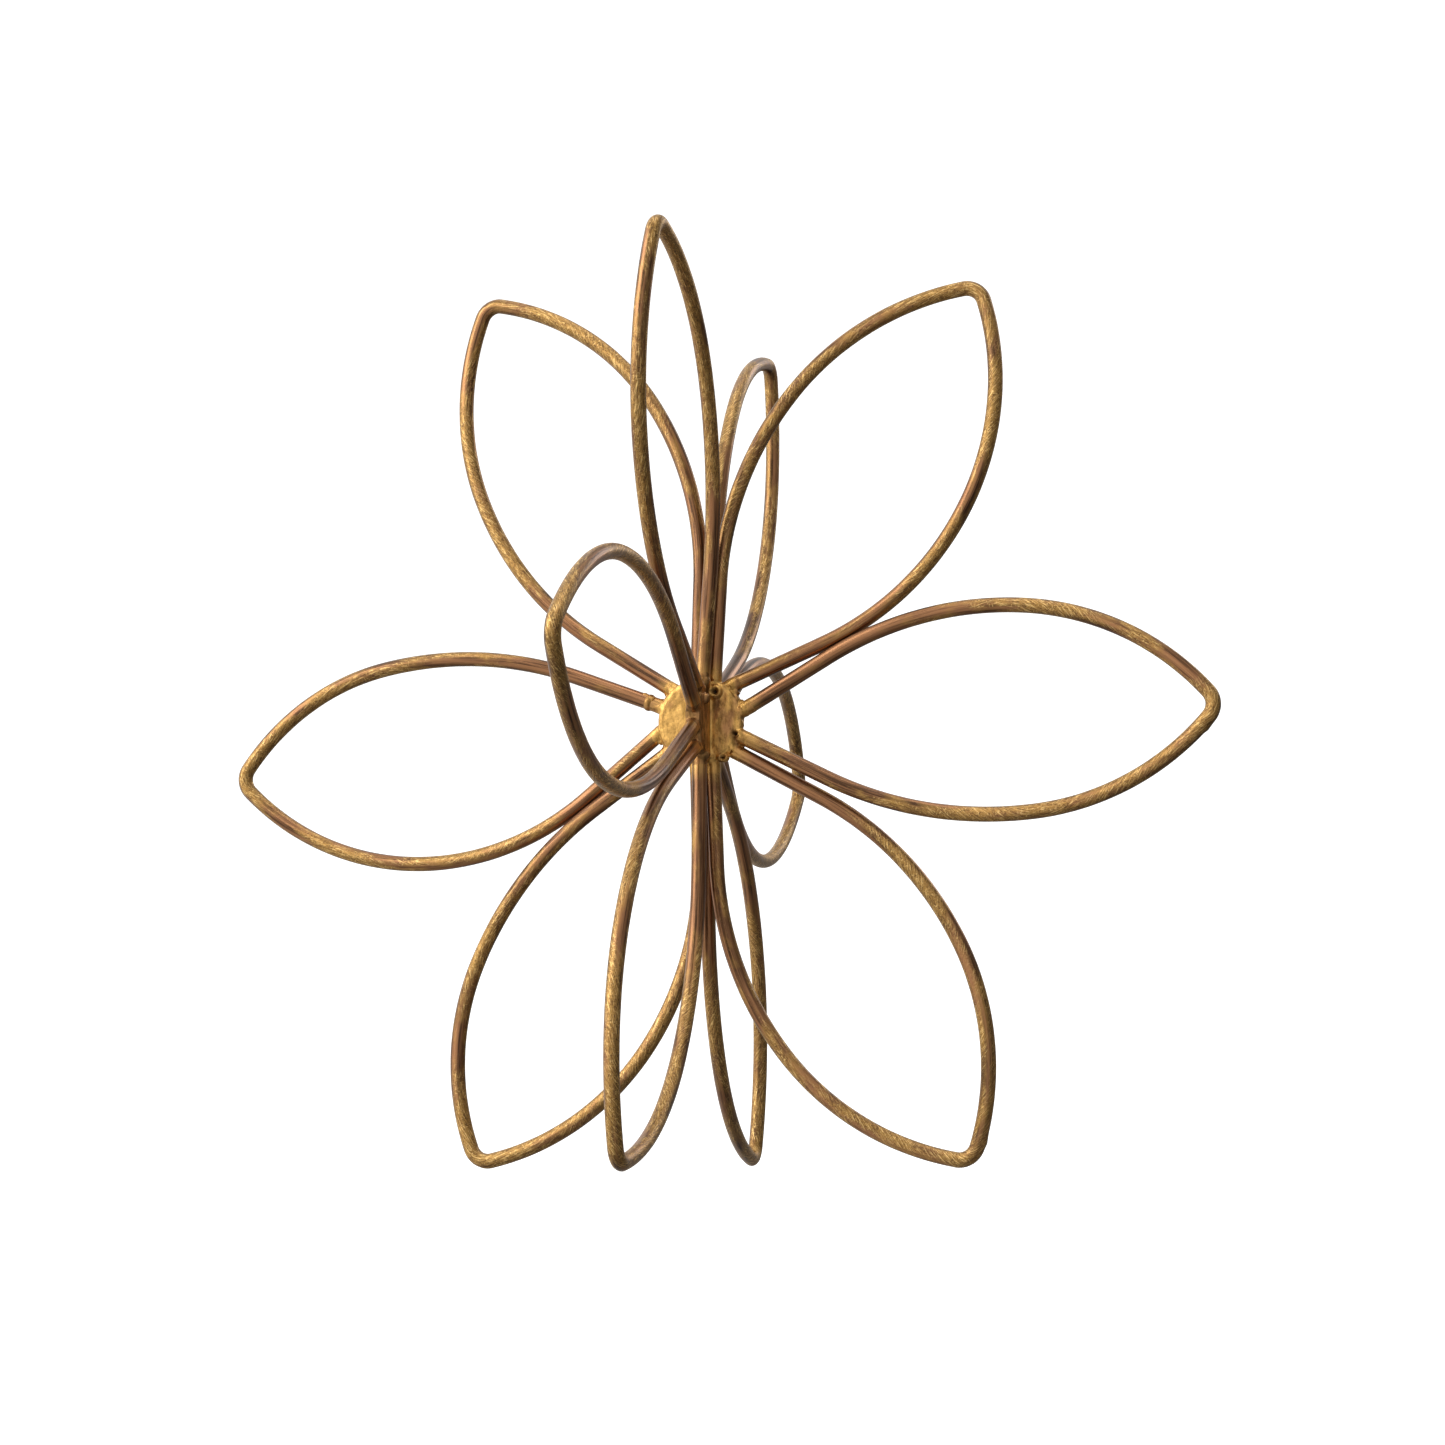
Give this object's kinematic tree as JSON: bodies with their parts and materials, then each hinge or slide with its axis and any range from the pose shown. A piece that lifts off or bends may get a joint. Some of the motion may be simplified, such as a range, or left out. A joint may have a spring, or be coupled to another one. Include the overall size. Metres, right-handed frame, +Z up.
{
  "type": "wire flower ornament",
  "caption": "Rigid welded wire ornament: two flat flowers of leaf-shaped wire petals crossed at a right angle on one small hub, standing on its lower petal tips.",
  "frame": {"origin": "on the floor, under the middle of the hub", "axes": "+Z up; the face flower lies in the X-Z plane and the cross flower in the Y-Z plane; the front is -Y"},
  "size_m": [0.2025, 0.2027, 0.1771],
  "materials": {
    "antique_wire": "antique brass, brushed in short diagonal strokes over a dark brown base",
    "hub_plate": "mottled brighter gold",
    "weld_metal": "rough, dark in the pits"
  },
  "bodies": {
    "root": {"face_petal_right": "antique_wire", "face_petal_upper_right": "antique_wire", "face_petal_upper_left": "antique_wire", "face_petal_left": "antique_wire", "face_petal_lower_left": "antique_wire", "face_petal_lower_right": "antique_wire", "cross_petal_front": "antique_wire", "cross_petal_front_upper": "antique_wire", "cross_petal_back_upper": "antique_wire", "cross_petal_back": "antique_wire", "cross_petal_back_lower": "antique_wire", "cross_petal_front_lower": "antique_wire", "hub_disc": "hub_plate", "hub_half_front": "hub_plate", "hub_half_back": "hub_plate", "face_root_welds": "weld_metal", "cross_root_welds": "weld_metal", "hub_corner_welds": "weld_metal", "wire_end_weld": "weld_metal"}
  },
  "joints": []
}
